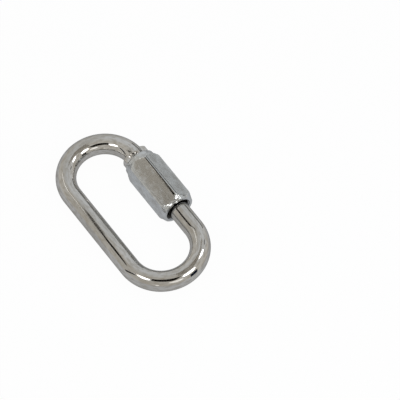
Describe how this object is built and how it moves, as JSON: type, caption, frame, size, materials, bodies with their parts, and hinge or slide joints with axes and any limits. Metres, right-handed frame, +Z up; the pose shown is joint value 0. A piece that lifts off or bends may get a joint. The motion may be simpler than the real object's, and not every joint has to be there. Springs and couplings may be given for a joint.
{
  "type": "chain quick link",
  "caption": "Oval loop of round steel rod with one split side, closed by a threaded hexagonal sleeve nut, for joining chain.",
  "frame": {"origin": "middle of the footprint, on the surface that the link lies on", "axes": "+X along the loop, the way the nut travels to open, +Y to the nut's side, +Z up"},
  "size_m": [0.057, 0.0298, 0.0115],
  "materials": {
    "plated_rod": "bright plated steel",
    "plated_nut": "satin plated steel"
  },
  "bodies": {
    "link": {"link_body": "plated_rod"},
    "nut": {"sleeve_nut": "plated_nut"}
  },
  "joints": [
    {"name": "nut_travel", "type": "slide", "parent": "link", "child": "nut", "axis": [1, 0, 0], "range_m": [0, 0.01]}
  ]
}
